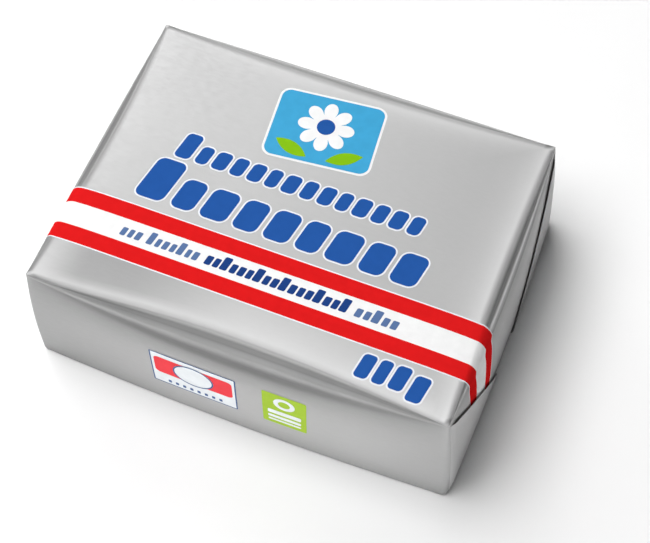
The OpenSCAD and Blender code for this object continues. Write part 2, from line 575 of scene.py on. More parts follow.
class Nodes:
    """A small helper that adds and links shader nodes in one material."""

    def __init__(self, name: str) -> None:
        """Makes an empty node material."""
        self.material = bpy.data.materials.new(name)
        self.material.use_nodes = True
        self.tree = self.material.node_tree
        self.tree.nodes.clear()

    def add(self, kind: str, inputs: dict | None = None, **settings: object) -> bpy.types.Node:
        """Adds a node.

        Args:
            kind: The node's type.
            inputs: Socket names or numbers to a value, or to an output socket to link.
            settings: Attributes of the node.

        Returns:
            The node.
        """
        node = self.tree.nodes.new(kind)
        for key, value in settings.items():
            setattr(node, key, value)
        for key, value in (inputs or {}).items():
            if isinstance(value, bpy.types.NodeSocket):
                self.tree.links.new(value, node.inputs[key])
            else:
                node.inputs[key].default_value = value
        return node

    def math(self, operation: str, *values: object) -> bpy.types.NodeSocket:
        """Adds a Math node and returns its output."""
        node = self.add("ShaderNodeMath", dict(enumerate(values)), operation=operation)
        return node.outputs[0]

    def place(self) -> bpy.types.NodeSocket:
        """The point on the object, in millimetres."""
        coordinates = self.add("ShaderNodeTexCoord")
        scale = self.add(
            "ShaderNodeVectorMath",
            {0: coordinates.outputs["Object"], "Scale": 1 / MM},
            operation="SCALE",
        )
        return scale.outputs[0]

    def noise(
        self, place: bpy.types.NodeSocket, size: float, detail: float = 2.0
    ) -> bpy.types.NodeSocket:
        """Adds a noise whose features are about size millimetres across."""
        node = self.add("ShaderNodeTexNoise", {"Vector": place, "Scale": 1 / size, "Detail": detail})
        return node.outputs["Fac"]

    def between(
        self,
        value: bpy.types.NodeSocket,
        to_low: float,
        to_high: float,
        from_low: float = 0.0,
        from_high: float = 1.0,
    ) -> bpy.types.NodeSocket:
        """Maps a value smoothly from one range to another."""
        node = self.add(
            "ShaderNodeMapRange",
            {
                "Value": value,
                "From Min": from_low,
                "From Max": from_high,
                "To Min": to_low,
                "To Max": to_high,
            },
            interpolation_type="SMOOTHSTEP",
        )
        return node.outputs[0]

    def mix(self, share: object, first: object, second: object) -> bpy.types.NodeSocket:
        """Mixes two colours by a share."""
        node = self.add("ShaderNodeMix", {0: share, 6: first, 7: second}, data_type="RGBA")
        return node.outputs[2]

    def finish(self, **shader: object) -> bpy.types.Material:
        """Adds the Principled shader with these inputs and returns the material."""
        inputs = {key.replace("_", " "): value for key, value in shader.items()}
        principled = self.add("ShaderNodeBsdfPrincipled", inputs)
        self.add("ShaderNodeOutputMaterial", {"Surface": principled.outputs[0]})
        return self.material


def opaque(colour: Colour) -> tuple[float, float, float, float]:
    """A colour with full alpha."""
    return (*colour, 1.0)


@dataclass(frozen=True)
class Foil:
    """Matt silver foil laminated to paper, with a fine drawn grain and soft clouds."""

    name: str = "silver_foil"
    tone: float = 0.45
    metallic: float = 0.75
    roughness: float = 0.48
    cloud_size: float = 26.0
    cloud_share: float = 0.05
    grain_size: float = 0.5
    grain_height: float = 0.004

    def material(self) -> bpy.types.Material:
        """Makes the foil."""
        nodes = Nodes(self.name)
        place = nodes.place()
        clouds = nodes.noise(place, self.cloud_size)
        # The mesh's painted light and shade scales the foil's grey.
        painted_light_level = nodes.add("ShaderNodeAttribute", attribute_name=PAINTED_LEVEL).outputs["Fac"]
        level = nodes.math("MULTIPLY", painted_light_level, self.tone)
        level = nodes.math(
            "MULTIPLY", level, nodes.between(clouds, 1 - self.cloud_share, 1 + self.cloud_share)
        )
        tone = nodes.add("ShaderNodeCombineColor", {0: level, 1: level, 2: level}).outputs[0]
        grain_place = nodes.add(
            "ShaderNodeVectorMath", {0: place, 1: (0.25, 1.0, 1.0)}, operation="MULTIPLY"
        ).outputs[0]
        grain = nodes.noise(grain_place, self.grain_size, 3.0)
        rough = nodes.math("ADD", nodes.between(clouds, -0.04, 0.04), self.roughness)
        rough = nodes.math("ADD", rough, nodes.between(grain, -0.03, 0.03, 0.3, 0.7))
        bump = nodes.add(
            "ShaderNodeBump", {"Height": grain, "Distance": self.grain_height * MM, "Strength": 1.0}
        )
        return nodes.finish(
            Base_Color=tone,
            Metallic=self.metallic,
            Roughness=rough,
            Normal=bump.outputs[0],
        )


@dataclass(frozen=True)
class Ink:
    """A printed colour, slightly uneven where it lies on the foil."""

    name: str
    colour: Colour
    roughness: float = 0.5
    mottle: float = 0.03
    mottle_size: float = 2.2
    fine_share: float = 0.125
    fine_height: float = 0.003

    def material(self) -> bpy.types.Material:
        """Makes the ink."""
        nodes = Nodes(self.name)
        place = nodes.place()
        uneven = nodes.noise(place, self.mottle_size, 3.0)
        fine = nodes.noise(place, self.mottle_size * self.fine_share, 2.0)
        dark = tuple(c * (1 - 2 * self.mottle) for c in self.colour)
        tone = nodes.mix(
            nodes.between(uneven, 0, 1, 0.25, 0.75), opaque(dark), opaque(self.colour)
        )
        rough = nodes.between(fine, self.roughness - 0.05, self.roughness + 0.05, 0.3, 0.7)
        bump = nodes.add(
            "ShaderNodeBump", {"Height": fine, "Distance": self.fine_height * MM, "Strength": 1.0}
        )
        return nodes.finish(
            Base_Color=tone,
            Roughness=rough,
            Specular_IOR_Level=0.0,
            Normal=bump.outputs[0],
        )


INKS: dict[str, Colour] = {
    "red": (0.67, 0.012, 0.013),
    "white": (0.84, 0.84, 0.84),
    "blue": (0.019, 0.090, 0.34),
    "navy": (0.016, 0.052, 0.21),
    "pale_navy": (0.10, 0.17, 0.34),
    "halo": (0.78, 0.80, 0.84),
    "sky_blue": (0.055, 0.35, 0.61),
    "green": (0.22, 0.48, 0.010),
    "label_white": (0.71, 0.74, 0.76),
    "label_red": (0.74, 0.065, 0.078),
    "label_green": (0.34, 0.50, 0.055),
    "outline": (0.08, 0.13, 0.27),
}


def mix_inks() -> Inks:
    """Makes every ink on the pack, by its name."""
    return {name: Ink(f"{name}_ink", colour).material() for name, colour in INKS.items()}


# ---------------------------------------------------------------------------- wrapper


@dataclass(frozen=True)
class Wrapper:
    """The foil over the top, the bevels, the walls and the foot."""

    form: PackForm
    painted_light: PaintedLight
    rows: Rows
    base: float = 0.5

    def wall_grid(self, wall: Wall) -> tuple[Array, Array]:
        """Points of one wall from its foot to the bevel's inner crease, and their painted light and
        shade.
        """
        form, rows = self.form, self.rows
        steps = rows.short_side if wall.is_end else rows.long_side
        t = np.linspace(-1, 1, steps + 1)
        grid, painted_levels = [], []
        head = form.crease_top(wall, t)
        rise = np.linspace(0, 1, rows.wall + 1)[1:, None]
        levels = [np.full_like(t, z) for z in self.foot_levels()]
        levels += list(form.foot_radius + (head - form.foot_radius) * rise)
        for z in levels:
            grid.append(form.wall_points(wall, t * form.across_at(wall, z), z))
            painted_levels.append(self.painted_light.wall(wall, t, z))
        for i in range(1, rows.bevel + 1):
            f = np.full_like(t, i / rows.bevel)
            grid.append(form.bevel_points(wall, t, f))
            painted_levels.append(self.painted_light.bevel(wall, t, f))
        return np.array(grid), np.array(painted_levels)

    def foot_levels(self) -> Array:
        """Heights of the rows round the foot."""
        radius = self.form.foot_radius
        start = math.acos(1 - self.base / radius)
        turns = np.linspace(start, math.pi / 2, self.rows.foot)
        return radius * (1 - np.cos(turns))

    def corner_grid(self, before: Array, after: Array) -> Array:
        """Points of a rounded corner between two walls.

        Args:
            before: The last column of the wall before it.
            after: The first column of the wall after it.

        Returns:
            The corner's points, as rows by columns.
        """
        middle = np.stack([before[:, 0], after[:, 1]], -1)
        flipped = np.stack([after[:, 0], before[:, 1]], -1)
        # The centre of the rounding is the inner one of the two crossings.
        inner = np.where(
            (np.abs(middle).sum(-1) < np.abs(flipped).sum(-1))[:, None], middle, flipped
        )
        turns = np.linspace(0, math.pi / 2, self.rows.corner + 1)
        columns = []
        for turn in turns:
            flat = (
                inner
                + (before[:, :2] - inner) * math.cos(turn)
                + (after[:, :2] - inner) * math.sin(turn)
            )
            columns.append(np.column_stack([flat, (before[:, 2] + after[:, 2]) / 2]))
        return np.stack(columns, 1)

    def top_grid(self, edges: dict[Wall, Array]) -> Array:
        """Points of the top, blended between the inner creases of the four bevels.

        Args:
            edges: The last row of each wall's grid.

        Returns:
            The points, as rows from front to back by columns from left to right.
        """
        front, back = edges[Wall.FRONT][:, :2], edges[Wall.BACK][::-1, :2]
        right, left = edges[Wall.RIGHT][:, :2], edges[Wall.LEFT][::-1, :2]
        u = np.linspace(0, 1, len(front))[None, :, None]
        v = np.linspace(0, 1, len(right))[:, None, None]
        corners = [(front[0] + left[0]) / 2, (front[-1] + right[0]) / 2]
        corners += [(back[0] + left[-1]) / 2, (back[-1] + right[-1]) / 2]
        straight = (1 - v) * ((1 - u) * corners[0] + u * corners[1])
        straight = straight + v * ((1 - u) * corners[2] + u * corners[3])
        flat = (1 - v) * front[None] + v * back[None] + (1 - u) * left[:, None] + u * right[:, None]
        flat = flat - straight
        z = self.form.top_z(flat[..., 0], flat[..., 1])
        grid = np.concatenate([flat, z[..., None]], -1)
        grid[0, :, 2] = grid[-1, :, 2] = self.form.height
        grid[:, 0, 2] = grid[:, -1, 2] = self.form.height
        # The edge rows are the creases themselves, so that the bevels join the top.
        grid[0, 1:-1, :2], grid[-1, 1:-1, :2] = front[1:-1], back[1:-1]
        grid[1:-1, 0, :2], grid[1:-1, -1, :2] = left[1:-1], right[1:-1]
        return grid

    def build(self, foil: bpy.types.Material) -> bpy.types.Object:
        """Makes the wrapper.

        Args:
            foil: Its material.

        Returns:
            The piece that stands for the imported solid.
        """
        parts = MeshParts()
        walls = {wall: self.wall_grid(wall) for wall in Wall}
        order = list(Wall)
        ring: list[int] = []
        corner_ends = []
        for wall, following in zip(order, order[1:] + order[:1]):
            grid, painted_levels = walls[wall]
            first = parts.add_grid(grid, painted_levels=painted_levels)
            ring += list(range(first, first + grid.shape[1]))
            corner = self.corner_grid(grid[:, -1], walls[following][0][:, 0])
            share = np.linspace(0, 1, corner.shape[1])[None]
            mixed = painted_levels[:, -1:] * (1 - share) + walls[following][1][:, :1] * share
            first = parts.add_grid(corner, painted_levels=mixed)
            ring += list(range(first + 1, first + corner.shape[1] - 1))
            beside = (grid[-1:, -2], corner[-1], walls[following][0][-1:, 1])
            corner_ends.append(np.vstack(beside))
        top = self.top_grid({wall: walls[wall][0][-1] for wall in Wall})
        painted_levels = self.painted_light.top(top[..., 0], top[..., 1])
        painted_levels[0], painted_levels[-1] = walls[Wall.FRONT][1][-1], walls[Wall.BACK][1][-1, ::-1]
        painted_levels[:, -1], painted_levels[:, 0] = walls[Wall.RIGHT][1][-1], walls[Wall.LEFT][1][-1, ::-1]
        parts.add_grid(top, painted_levels=painted_levels)
        for tip, end in zip((top[0, -1], top[-1, -1], top[-1, 0], top[0, 0]), corner_ends):
            first = parts.add_points(np.vstack([end, tip[None]]))
            for j in range(len(end) - 1):
                parts.faces.append((first + j, first + j + 1, first + len(end)))
        parts.add_cap(ring, flip=True)
        piece = hand_over(parts.build("foil_wrapper", weld=2e-6), foil)
        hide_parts(SOLID)
        return piece


@dataclass(frozen=True)
class Ear:
    """A folded ear over an end panel: a double triangle whose fold runs down at 45 degrees."""

    form: PackForm
    end: Wall
    side: int
    # The front ears are painted lighter and the back ears darker, as light and shade.
    front_ear_light: float = 1.18
    back_ear_shade: float = 0.85
    thickness: float = 0.12
    stand_off: float = 0.37
    spring: float = 0.14
    spring_run: float = 2.2
    ramp: float = 2.2
    root: float = 0.3
    fold_start: float = 0.85
    fold_bend: float = 0.009
    levels: int = 44
    columns: int = 22
    edge_steps: int = 6
    foot_steps: int = 8
    taper_power: float = 0.6
    under_power: float = 0.5
    least_thickness: float = 0.02

    @property
    def name(self) -> str:
        """The piece's name."""
        return f"ear_{self.end.name.lower()}_{'front' if self.side < 0 else 'back'}"

    def fold_at(self, z: Array) -> Array:
        """Distance of the fold from the middle of the end, along the end, at height z."""
        form = self.form
        drop = np.clip(form.height - form.point_drop - z, 0, None)
        start, bend = self.fold_start, self.fold_bend
        return form.half_width - (np.sqrt(start**2 + 4 * bend * drop) - start) / (2 * bend)

    def loop(self, z: float) -> Array:
        """The ear's cross-section at height z: out to the fold, round it and back underneath."""
        form = self.form
        start, fold = form.across_at(self.end, z), self.fold_at(z)
        share = np.linspace(0, 1, self.columns + 1)
        along = start + (fold - start) * np.sin(share * np.pi / 2)
        ramp = smooth_step(start - along, 0, self.ramp)
        near = np.exp(-(along - fold) / self.spring_run)
        gentle = min(1.0, (start - fold) / self.ramp) ** self.taper_power
        outer = (self.stand_off * ramp + self.spring * near * ramp) * gentle
        under = near**self.under_power
        inner = outer - self.thickness * gentle - (1 - under) * (self.root + outer)
        inner = np.minimum(inner, outer - self.least_thickness)
        half = (outer[-1] - inner[-1]) / 2
        turns = np.linspace(0, np.pi, self.edge_steps + 1)[1:-1]
        rim_out = inner[-1] + half + half * np.cos(turns)
        reach = half * np.sin(turns) / math.sqrt(2)
        face = form.wall_distance(self.end, along * self.side, np.full_like(along, z))
        rim_face = form.wall_distance(self.end, np.full_like(turns, fold * self.side), z)
        outs = np.concatenate([face + outer, rim_face + rim_out, (face + inner)[::-1]])
        places = np.concatenate([along, fold - reach, along[::-1]]) * self.side
        heights = np.concatenate([np.full_like(along, z), z + reach, np.full_like(along, z)])
        fx = self.end.value[0]
        return np.stack([fx * outs, places, heights], -1)

    def build(self, foil: bpy.types.Material) -> bpy.types.Object:
        """Makes the ear."""
        form = self.form
        top = form.height - 2 * form.point_drop
        upper = np.linspace(top, form.foot_radius, self.levels)
        foot = form.foot_radius * (1 - np.cos(np.linspace(np.pi / 2, 0, self.foot_steps)[1:]))
        levels = np.concatenate([upper, foot])
        grid = np.array([self.loop(z) for z in levels])
        flip = (self.end is Wall.RIGHT) != (self.side < 0)
        parts = MeshParts()
        # Painted light on the front ears, painted shade on the back ones.
        tone = self.front_ear_light if self.side < 0 else self.back_ear_shade
        parts.add_tube(grid, flip=not flip, painted_levels=tone)
        return hand_over(parts.build(self.name, weld=1e-7), foil)


@dataclass(frozen=True)
class Underside:
    """The layers that close the wrapper under the block."""

    form: PackForm
    layer: float = 0.25
    overlap: float = 0.1
    flap_reach: float = 24.0
    seam_offset: float = 7.0
    edge_steps: int = 40
    edge_soft: float = 0.08

    def levels(self, low: float, high: float) -> list[tuple[float, float]]:
        """Heights of a layer's rings, each with how far its inner edges are drawn in there."""
        soft = min(self.edge_soft, (high - low) / 3)
        return [(low, soft), (low + soft * 0.3, soft * 0.3), (low + soft, 0.0), (high, 0.0)]

    def stack(self, name: str, rings: list[Array], foil: bpy.types.Material) -> bpy.types.Object:
        """Makes a closed plate through rings of points from the lowest to the highest."""
        parts = MeshParts()
        parts.add_tube(np.array(rings))
        piece = parts.build(name, weld=1e-7)
        piece.data.shade_flat()
        return hand_over(piece, foil)

    def end_flap(self, end: Wall, foil: bpy.types.Material) -> bpy.types.Object:
        """Makes the flap from one end, which narrows at 45 degrees from the base's corners."""
        form = self.form
        rings = []
        for z, soft in self.levels(0.0, 2 * self.layer + self.overlap):
            y_out = float(form.across_at(end, z)) - soft
            y = np.linspace(-y_out, y_out, self.edge_steps + 1)
            x = form.wall_distance(end, y, np.full_like(y, z))
            corner = float(form.half_length_at(0.0))
            inner_x = corner - self.flap_reach + soft
            inner_y = float(form.half_width_at(0.0)) - self.flap_reach - soft
            plan = np.vstack([np.column_stack([x, y]), [[inner_x, inner_y], [inner_x, -inner_y]]])
            plan = plan * [end.value[0], 1]
            if end is Wall.LEFT:
                plan = plan[::-1]
            rings.append(np.column_stack([plan, np.full(len(plan), z)]))
        return self.stack(f"end_flap_{end.name.lower()}", rings, foil)

    def front_lap(self, foil: bpy.types.Material) -> bpy.types.Object:
        """Makes the long front panel, which runs under the block as far as the seam."""
        form = self.form
        rings = []
        for z, soft in self.levels(self.layer, 2 * self.layer + self.overlap):
            x_out = float(form.across_at(Wall.FRONT, z)) - soft
            x = np.linspace(-x_out, x_out, self.edge_steps + 1)
            y = -form.wall_distance(Wall.FRONT, x, np.full_like(x, z))
            seam = self.seam_offset - soft
            plan = np.vstack([np.column_stack([x, y]), [[x_out, seam], [-x_out, seam]]])
            rings.append(np.column_stack([plan, np.full(len(plan), z)]))
        return self.stack("long_lap_front", rings, foil)

    def build(self, foil: bpy.types.Material) -> None:
        """Makes the lap and both flaps."""
        self.front_lap(foil)
        for end in (Wall.LEFT, Wall.RIGHT):
            self.end_flap(end, foil)


# ---------------------------------------------------------------------------- print


@dataclass(frozen=True)
class Outline:
    """A closed outline on the flat sheet, in millimetres, as points in order."""

    points: Array

    @classmethod
    def box(cls, width: float, height: float, radius: float, steps: int = 6) -> "Outline":
        """A rectangle with rounded corners, about its middle."""
        turns = np.linspace(0, np.pi / 2, steps + 1)
        runs = []
        for k, (sx, sy) in enumerate(((1, 1), (-1, 1), (-1, -1), (1, -1))):
            centre = np.array([sx * (width / 2 - radius), sy * (height / 2 - radius)])
            angle = turns + k * np.pi / 2
            runs.append(centre + radius * np.column_stack([np.cos(angle), np.sin(angle)]))
        corners = np.vstack(runs)
        return cls(cls.filled(corners, max(width, height) / 16))

    @staticmethod
    def filled(points: Array, pitch: float) -> Array:
        """Adds points along long straight runs, so that none is longer than the pitch."""
        out = []
        for a, b in zip(points, np.roll(points, -1, 0)):
            steps = max(1, math.ceil(np.linalg.norm(b - a) / pitch))
            out += [a + (b - a) * i / steps for i in range(steps)]
        return np.array(out)

    @classmethod
    def ellipse(cls, width: float, height: float, steps: int = 48) -> "Outline":
        """An ellipse about its middle."""
        turns = np.linspace(0, 2 * np.pi, steps, endpoint=False)
        return cls(np.column_stack([np.cos(turns) * width / 2, np.sin(turns) * height / 2]))

    @classmethod
    def flower(cls, petals: int, outer: float, inner: float, steps: int = 160) -> "Outline":
        """A flower with round petals, between two radii."""
        turns = np.linspace(0, 2 * np.pi, steps, endpoint=False)
        wave = np.abs(np.cos(turns * petals / 2)) ** 0.55
        radius = inner + (outer - inner) * wave
        return cls(np.column_stack([np.cos(turns) * radius, np.sin(turns) * radius]))

    @classmethod
    def leaf(cls, length: float, width: float, steps: int = 24) -> "Outline":
        """A pointed leaf about its middle, along x."""
        run = np.linspace(-1, 1, steps)
        edge = (1 - run**2) * width / 2
        upper = np.column_stack([run * length / 2, edge])
        lower = np.column_stack([run[::-1] * length / 2, -edge[::-1]])
        return cls(np.vstack([lower[::-1][:-1], upper[::-1][:-1]]))

    def slanted(self, degrees: float) -> "Outline":
        """Leans the outline to the right, as italics lean."""
        lean = math.tan(math.radians(degrees))
        return Outline(self.points @ np.array([[1.0, 0.0], [lean, 1.0]]))

    def turned(self, degrees: float) -> "Outline":
        """Turns the outline anticlockwise about the origin."""
        c, s = math.cos(math.radians(degrees)), math.sin(math.radians(degrees))
        return Outline(self.points @ np.array([[c, s], [-s, c]]))

    def at(self, x: float, y: float) -> "Outline":
        """Moves the outline."""
        return Outline(self.points + [x, y])

    def grown(self, by: float) -> "Outline":
        """Moves every point outwards, or inwards where by is negative."""
        p = self.points
        run = np.roll(p, -1, 0) - np.roll(p, 1, 0)
        out = np.column_stack([run[:, 1], -run[:, 0]])
        return Outline(p + by * out / np.maximum(np.linalg.norm(out, axis=1), 1e-9)[:, None])


@dataclass(frozen=True)
class Field:
    """A printed field: an outline that is filled, or filled as far as an inner outline."""

    outer: Outline
    inner: Outline | None = None
    pitch: float = 1.6

    def grid(self) -> Array:
        """Points from the inner outline or the middle to the outer one, as rings."""
        outer = self.outer.points
        middle = outer.mean(0)
        inner = middle + (outer - middle) * 0.02 if self.inner is None else self.inner.points
        reach = np.linalg.norm(outer - inner, axis=1).max()
        steps = max(1, math.ceil(reach / self.pitch))
        share = np.linspace(0, 1, steps + 1)[:, None, None]
        return inner[None] + (outer - inner)[None] * share


@dataclass
class Print:
    """Printed fields of one colour that are laid on one skin as one piece."""

    name: str
    skin: Skin
    lift: float

    def build(self, fields: Sequence[Field], ink: bpy.types.Material) -> bpy.types.Object:
        """Makes the piece.

        Args:
            fields: What is printed.
            ink: Its material.

        Returns:
            The piece.
        """
        parts = MeshParts()
        for field in fields:
            grid = field.grid()
            points = self.skin(grid[..., 0], grid[..., 1], self.lift)
            first = parts.add_grid(points, flip=True, wrap=True)
            if field.inner is None:
                parts.add_cap(range(first, first + grid.shape[1]))
        return hand_over(parts.build(self.name, weld=1e-7), ink)


@dataclass(frozen=True)
class WordBlocks:
    """A word's place in the layout, filled with plain leaning blocks instead of letters."""

    left: float
    right: float
    base: float
    low: float
    tall: float
    count: int
    gap: float
    lean: float = 10.0
    rhythm: tuple[int, ...] = (1, 0, 0, 1, 0)
    radius: float = 0.8
    widths: tuple[float, ...] = (1.0, 0.90, 1.06, 0.95)
    capital: float = 1.15

    def outlines(self) -> list[Outline]:
        """The blocks from left to right."""
        shares = np.array([self.widths[i % len(self.widths)] for i in range(self.count)])
        tall = np.array([self.rhythm[i % len(self.rhythm)] for i in range(self.count)])
        shares = np.where(tall == 1, self.capital, shares)
        room = self.right - self.left - self.gap * (self.count - 1)
        widths = shares / shares.sum() * room
        out, x = [], self.left
        for i, width in enumerate(widths):
            height = self.tall if self.rhythm[i % len(self.rhythm)] else self.low
            radius = min(self.radius, width / 2.05, height / 2.05)
            block = Outline.box(width, height, radius).slanted(self.lean)
            out.append(block.at(x + width / 2, self.base + height / 2))
            x += width + self.gap
        return out


@dataclass(frozen=True)
class Band:
    """The red, white and red band that runs over the top and down both ends."""

    form: PackForm
    rows: Rows
    front: float = -25.30
    lower: float = -21.48
    upper: float = -15.83
    back: float = -12.00
    key_line: float = 0.30
    lift: float = 0.03
    under_ear: float = 2.0
    pitch: float = 0.75
    top_rows: int = 90
    wall_rows: int = 24

    def column(self, y: float) -> Array:
        """Points of the band at one distance y across the block, from the left end to the right."""
        left, right = self.half(Wall.LEFT, y), self.half(Wall.RIGHT, y)
        x = np.linspace(left[-1, 0], right[-1, 0], self.top_rows + 1)[1:-1]
        ys = np.full_like(x, y)
        top = np.column_stack([x, ys, self.form.top_z(x, ys) + self.lift])
        return np.vstack([left, top, right[::-1]])

    def half(self, end: Wall, y: float) -> Array:
        """The band's run up one end, from under the ear to the inner crease of the bevel."""
        form = self.form
        fx = end.value[0]
        along = y * fx
        head = self.same_y(end, along, 0.0)
        cover = form.height - (form.half_width_at(np.array(10.0)) - abs(y)) - self.under_ear
        z = np.linspace(float(cover), head[2], self.wall_rows + 1)[:-1]
        wall = form.wall_points(end, np.full_like(z, along), z, self.lift)
        bevel = [
            self.same_y(end, along, i / self.rows.bevel) for i in range(self.rows.bevel + 1)
        ]
        return np.vstack([wall, bevel])

    def same_y(self, end: Wall, along: float, f: float) -> Array:
        """The point of an end's bevel that lies at f up it, at the same distance along."""
        form = self.form
        t = along / form.half_width
        for _ in range(6):
            point = form.bevel_points(end, np.array([t]), np.array([f]), self.lift)[0]
            t += (along - point[1] * end.value[0]) / form.half_width
        return point

    def strip(self, name: str, low: float, high: float, ink: bpy.types.Material) -> None:
        """Makes the part of the band between two distances across the block."""
        steps = max(1, math.ceil((high - low) / self.pitch))
        grid = np.array([self.column(y) for y in np.linspace(low, high, steps + 1)])
        parts = MeshParts()
        parts.add_grid(grid)
        hand_over(parts.build(name, weld=1e-7), ink)

    def build(self, inks: Inks) -> None:
        """Makes the white middle, the two red stripes and the thin lines beside them."""
        strips = (
            ("band_white", self.lower, self.upper, "white"),
            ("band_red_front", self.front, self.lower, "red"),
            ("band_red_back", self.upper, self.back, "red"),
            ("key_line_front", self.front - self.key_line, self.front, "halo"),
            ("key_line_back", self.back, self.back + self.key_line, "halo"),
        )
        for name, low, high, ink in strips:
            self.strip(name, low, high, inks[ink])


@dataclass(frozen=True)
class Sheet:
    """A side of the pack that is printed on, in layers of ink."""

    form: PackForm
    first_lift: float = 0.03
    lift_step: float = 0.03

    def skin(self, across: Array, up: Array, lift: float) -> Array:
        """Points on the side."""
        raise NotImplementedError

    def put(
        self, name: str, number: int, fields: Sequence[Field], ink: bpy.types.Material
    ) -> None:
        """Prints one colour as one piece.

        Args:
            name: The piece's name.
            number: How many layers of ink lie under it.
            fields: What is printed.
            ink: Its material.
        """
        lift = self.first_lift + number * self.lift_step
        Print(name, self.skin, lift).build(fields, ink)


@dataclass(frozen=True)
class TopPrint(Sheet):
    """Everything printed on the top besides the band."""

    halo: float = 0.38
    halo_under: float = 0.15

    def skin(self, x: Array, y: Array, lift: float) -> Array:
        """Points on the top."""
        return np.stack([x, y, self.form.top_z(x, y) + lift], -1)

    def words(self, inks: Inks) -> None:
        """Makes the blocks in the place of the two lines and of the weight."""
        title = WordBlocks(-34.3, 31.4, -9.4, 7.9, 11.0, 9, 1.5, rhythm=(1, *[0] * 9), radius=1.7)
        line = WordBlocks(-30.5, 27.6, 2.8, 4.8, 6.9, 14, 1.0, rhythm=(1, *[0] * 14), radius=1.1)
        weight = WordBlocks(26.2, 36.9, -32.6, 5.6, 5.6, 3, 0.9, rhythm=(0,), radius=0.9)
        unit = WordBlocks(37.9, 41.3, -33.8, 6.0, 6.0, 1, 1.0, rhythm=(0,), radius=0.9)
        blocks = [b for w in (title, line, weight, unit) for b in w.outlines()]
        blue = [Field(b) for b in blocks]
        halo = [Field(b.grown(self.halo), b.grown(-self.halo_under)) for b in blocks]
        self.put("block_halos", 0, halo, inks["halo"])
        self.put("blue_blocks", 1, blue, inks["blue"])

    def band_words(self, inks: Inks) -> None:
        """Makes the small marks on the white of the band."""
        pale = (
            WordBlocks(-33.4, -28.6, -20.0, 2.1, 3.1, 3, 0.55, rhythm=(0,), radius=0.3),
            WordBlocks(-27.0, -15.0, -20.0, 2.1, 3.1, 7, 0.55, rhythm=(1, 0, 0, 0), radius=0.3),
            WordBlocks(21.3, 30.8, -20.0, 2.1, 3.1, 5, 0.55, rhythm=(0, 0, 1, 0, 0), radius=0.3),
        )
        bold = WordBlocks(
            -13.3, 19.6, -20.0, 2.3, 3.3, 17, 0.42, rhythm=(0, 0, 1, 0, 0, 0, 1), radius=0.35
        )
        faint = [Field(b) for w in pale for b in w.outlines()]
        self.put("band_marks_pale", 1, faint, inks["pale_navy"])
        marks = [Field(b) for b in bold.outlines()]
        self.put("band_marks", 1, marks, inks["navy"])

    def badge(self, inks: Inks) -> None:
        """Makes the tilted badge: a white-rimmed blue field with a plain flower and leaves."""
        x, y, tilt, width, height = -1.64, 21.1, 5.8, 25.4, 19.2

        def put(outline: Outline) -> Outline:
            return outline.turned(tilt).at(x, y)

        rim = put(Outline.box(width, height, 2.6, 8))
        sky = put(Outline.box(width - 1.1, height - 1.1, 2.1, 8))
        flower = put(Outline.flower(8, 6.6, 3.4).at(0, 1.0))
        heart = put(Outline.ellipse(4.2, 4.2).at(0, 1.0))
        leaves = [
            put(Outline.leaf(8.6, 3.2).turned(a).at(bx, -6.2)) for a, bx in ((22, 6.2), (158, -6.2))
        ]
        self.put("badge_rim", 0, [Field(rim)], inks["white"])
        self.put("badge_field", 1, [Field(sky)], inks["sky_blue"])
        self.put("badge_flower", 2, [Field(flower)], inks["white"])
        self.put("badge_heart", 3, [Field(heart)], inks["blue"])
        self.put("badge_leaves", 2, [Field(leaf) for leaf in leaves], inks["green"])

    def build(self, inks: Inks) -> None:
        """Makes all of it."""
        self.words(inks)
        self.band_words(inks)
        self.badge(inks)


@dataclass(frozen=True)
class FrontLabels(Sheet):
    """The two small labels on the front wall."""

    def skin(self, x: Array, z: Array, lift: float) -> Array:
        """Points on the front wall, at x along it and z up it."""
        return self.form.wall_points(Wall.FRONT, x, z, lift)

    def white_label(self, inks: Inks) -> None:
        """Makes the white label: a red bar, a plain oval over it and a row of ticks."""
        x, z, width, height = -9.2, 17.0, 20.6, 14.0
        card = Outline.box(width, height, 0.3, 3).at(x, z)
        self.put("white_label", 0, [Field(card.grown(-0.2))], inks["label_white"])
        self.put("white_label_frame", 1, [Field(card, card.grown(-0.30))], inks["outline"])
        bar = Outline.box(width - 1.8, 7.2, 1.2).at(x, z + 1.5)
        self.put("white_label_bar", 1, [Field(bar)], inks["label_red"])
        oval = Outline.ellipse(9.8, 8.4).at(x, z + 1.3)
        self.put("white_label_oval", 2, [Field(oval)], inks["label_white"])
        self.put("white_label_ring", 3, [Field(oval, oval.grown(-0.38))], inks["outline"])
        ticks = [Outline.box(0.8, 1.2, 0.2, 3).at(x - 6.2 + 1.78 * i, z - 5.3) for i in range(8)]
        self.put("white_label_ticks", 1, [Field(t) for t in ticks], inks["outline"])

    def green_label(self, inks: Inks) -> None:
        """Makes the green label: a plain ring over three bars."""
        x, z, width, height = 12.45, 17.4, 10.3, 14.4
        card = Outline.box(width, height, 0.4, 3).at(x, z)
        self.put("green_label", 0, [Field(card)], inks["label_green"])
        ring = Outline.ellipse(5.0, 5.0).at(x, z + 3.4)
        sizes = ((1.7, -1.3), (1.2, -3.6), (0.8, -5.3))
        bars = [Outline.box(7.8, tall, 0.4).at(x, z + rise) for tall, rise in sizes]
        fields = [Field(ring, ring.grown(-1.1))] + [Field(b) for b in bars]
        self.put("green_label_marks", 1, fields, inks["label_white"])

    def build(self, inks: Inks) -> None:
        """Makes both labels."""
        self.white_label(inks)
        self.green_label(inks)


# ---------------------------------------------------------------------------- studio


